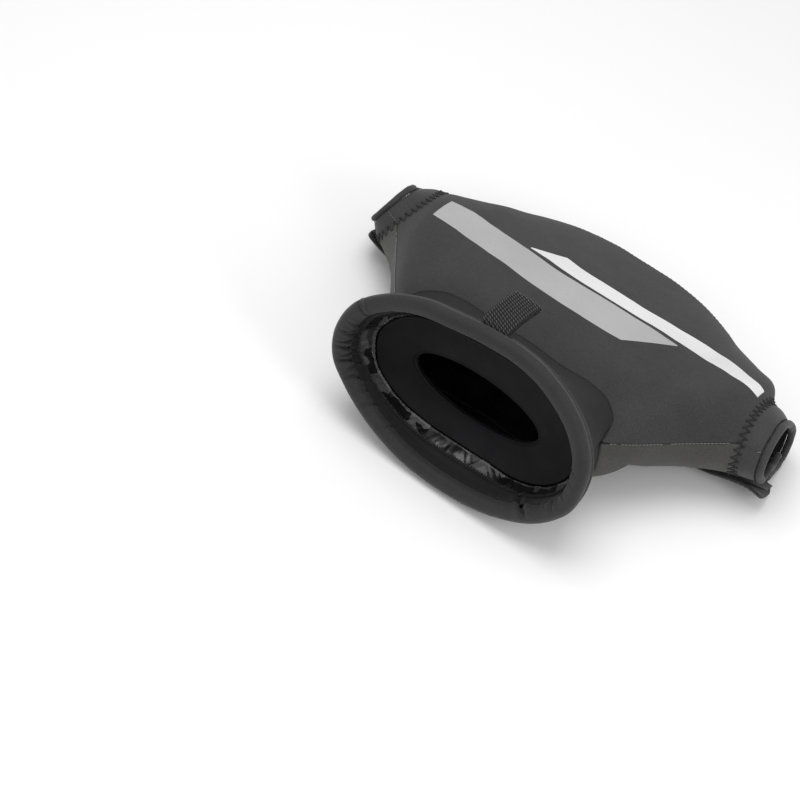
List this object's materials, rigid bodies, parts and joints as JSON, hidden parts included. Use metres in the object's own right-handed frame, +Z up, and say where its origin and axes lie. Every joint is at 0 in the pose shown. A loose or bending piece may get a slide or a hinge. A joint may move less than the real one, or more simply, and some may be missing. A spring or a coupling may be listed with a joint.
{
  "type": "paddle pogie mitt",
  "caption": "Soft hollow mitt that closes around a paddle shaft, with open sleeves at both ends, a hooded flared wrist cuff with an inner gasket, and a pull tab.",
  "frame": {"origin": "centre of the bounding box's base", "axes": "+X along the paddle shaft towards sleeve B, +Y from the wrist opening towards the knuckles, +Z up through the back of the hand"},
  "size_m": [0.322, 0.2452, 0.1173],
  "materials": {
    "panel": "soft matt knit-faced foam",
    "belly": "soft matt knit-faced foam, slightly warm",
    "collar": "matt knit-faced foam, darker",
    "band": "matt knit-faced foam, hemmed and rolled",
    "lining": "thin glossy coated lining, gathered",
    "gasket": "smooth skin foam, faint sheen",
    "webbing": "herringbone webbing",
    "hook": "fuzzy hook-and-loop",
    "silver_print": "satin printed film",
    "white_print": "matt printed film"
  },
  "bodies": {
    "root": {"top_panel": "panel", "under_panel_knuckle": "belly", "under_panel_wrist": "belly", "knuckle_gusset_a": "panel", "knuckle_gusset_b": "panel", "cuff_collar_top": "collar", "cuff_collar_under": "collar", "rim_band": "band", "rim_roll": "band", "rim_facing": "lining", "wrist_gasket": "gasket", "sleeve_band_a": "band", "sleeve_band_b": "band", "sleeve_lip_a": "band", "sleeve_lip_b": "band", "closure_tape": "hook", "closure_flap": "panel", "pull_tab": "webbing", "stripe_wide": "silver_print", "stripe_narrow": "white_print"}
  },
  "joints": []
}
